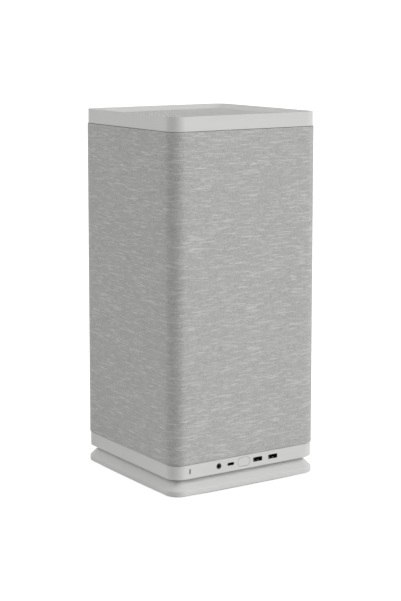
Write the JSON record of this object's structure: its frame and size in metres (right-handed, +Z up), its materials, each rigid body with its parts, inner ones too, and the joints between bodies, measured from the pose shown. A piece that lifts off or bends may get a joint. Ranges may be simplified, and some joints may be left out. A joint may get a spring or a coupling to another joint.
{
  "type": "desktop computer tower",
  "caption": "Upright desktop computer tower: fabric sleeve and exhaust cap lift off a frame with fans, boards and front sockets on a square foot.",
  "frame": {"origin": "on the floor under the middle of the tower", "axes": "+Z up, the side with the front sockets faces -Y, +X to the right seen from that side"},
  "size_m": [0.211, 0.211, 0.45],
  "materials": {
    "light_plastic": "fine matte, light warm grey",
    "rubber": "matte",
    "dark_steel": "fine powder coat, near black",
    "bright_steel": "bright plated",
    "black_plastic": "satin moulded",
    "lens": "smooth grey lens",
    "circuit_board": "solder mask over glass fibre",
    "memory_cover": "anodised near black",
    "copper": "bare copper, nickel-free",
    "aluminium": "mill finish",
    "cable": "soft cable jacket",
    "fabric": "melange weave with light slubs"
  },
  "bodies": {
    "chassis": {"foot_plate": "light_plastic", "rubber_foot_front_left": "rubber", "rubber_foot_front_right": "rubber", "rubber_foot_rear_left": "rubber", "rubber_foot_rear_right": "rubber", "foot_neck": "dark_steel", "lower_band": "light_plastic", "status_light": "lens", "port_board": "circuit_board", "audio_jack": "black_plastic", "usb_c_socket": "bright_steel", "usb_c_tongue": "black_plastic", "usb_a_socket_left": "bright_steel", "usb_a_tongue_left": "black_plastic", "usb_a_socket_right": "bright_steel", "usb_a_tongue_right": "black_plastic", "power_switch": "black_plastic", "base_pan": "dark_steel", "corner_post_front_left": "dark_steel", "corner_post_front_right": "dark_steel", "corner_post_rear_left": "dark_steel", "corner_post_rear_right": "dark_steel", "top_frame": "dark_steel", "spine_panel": "dark_steel", "mainboard": "circuit_board", "board_ports": "bright_steel", "memory_module_lower": "memory_cover", "memory_module_upper": "memory_cover", "cpu_cooler_base": "copper", "cpu_cooler_fins": "aluminium", "cpu_fan_frame": "black_plastic", "power_supply_case": "dark_steel", "power_supply_bracket": "dark_steel", "power_supply_grille": "bright_steel", "graphics_board": "circuit_board", "graphics_heatsink": "aluminium", "graphics_shroud": "black_plastic", "graphics_bracket": "bright_steel", "riser_socket": "black_plastic", "riser_plug": "black_plastic", "riser_ribbon": "cable", "mains_inlet": "black_plastic", "inlet_lead_plug": "black_plastic", "inlet_lead": "cable", "mainboard_power_plug": "black_plastic", "mainboard_power_lead": "cable", "graphics_power_lead": "cable", "top_fan_frame": "black_plastic"},
    "sleeve": {"sleeve_frame": "black_plastic", "fabric_wrap": "fabric"},
    "cap": {"top_cap": "light_plastic", "top_grille": "light_plastic", "top_filter": "black_plastic"},
    "power_key": {"power_button": "light_plastic"},
    "top_fan": {"top_fan_rotor": "black_plastic"},
    "cpu_fan": {"cpu_fan_rotor": "black_plastic"},
    "supply_fan": {"power_supply_fan": "black_plastic"},
    "card_fan_lower": {"graphics_fan_lower": "black_plastic"},
    "card_fan_upper": {"graphics_fan_upper": "black_plastic"},
    "supply_switch": {"power_supply_rocker": "black_plastic"}
  },
  "joints": [
    {"name": "sleeve_lift", "type": "slide", "parent": "chassis", "child": "sleeve", "axis": [0, 0, 1], "range_m": [0, 0.42]},
    {"name": "cap_lift", "type": "slide", "parent": "sleeve", "child": "cap", "axis": [0, 0, 1], "range_m": [0, 0.06]},
    {"name": "power_key_press", "type": "slide", "parent": "chassis", "child": "power_key", "axis": [0, 1, 0], "range_m": [0, 0.0012], "stiffness_N_per_m": 600, "springref_m": -0.0015},
    {"name": "top_fan_spin", "type": "hinge", "parent": "chassis", "child": "top_fan", "pos_m": [0, 0, 0.4142], "axis": [0, 0, 1], "continuous": true},
    {"name": "cpu_fan_spin", "type": "hinge", "parent": "chassis", "child": "cpu_fan", "pos_m": [0.0729, -0.005, 0.1812], "axis": [1, 0, 0], "continuous": true},
    {"name": "supply_fan_spin", "type": "hinge", "parent": "chassis", "child": "supply_fan", "pos_m": [0.0221, 0, 0.3232], "axis": [1, 0, 0], "continuous": true},
    {"name": "card_fan_lower_spin", "type": "hinge", "parent": "chassis", "child": "card_fan_lower", "pos_m": [-0.0832, -0.004, 0.16595], "axis": [1, 0, 0], "continuous": true},
    {"name": "card_fan_upper_spin", "type": "hinge", "parent": "chassis", "child": "card_fan_upper", "pos_m": [-0.0832, -0.004, 0.29945], "axis": [1, 0, 0], "continuous": true},
    {"name": "supply_switch_rock", "type": "hinge", "parent": "chassis", "child": "supply_switch", "pos_m": [0.01085, -0.038, 0.3722], "axis": [1, 0, 0], "range_deg": [-8, 8]}
  ]
}
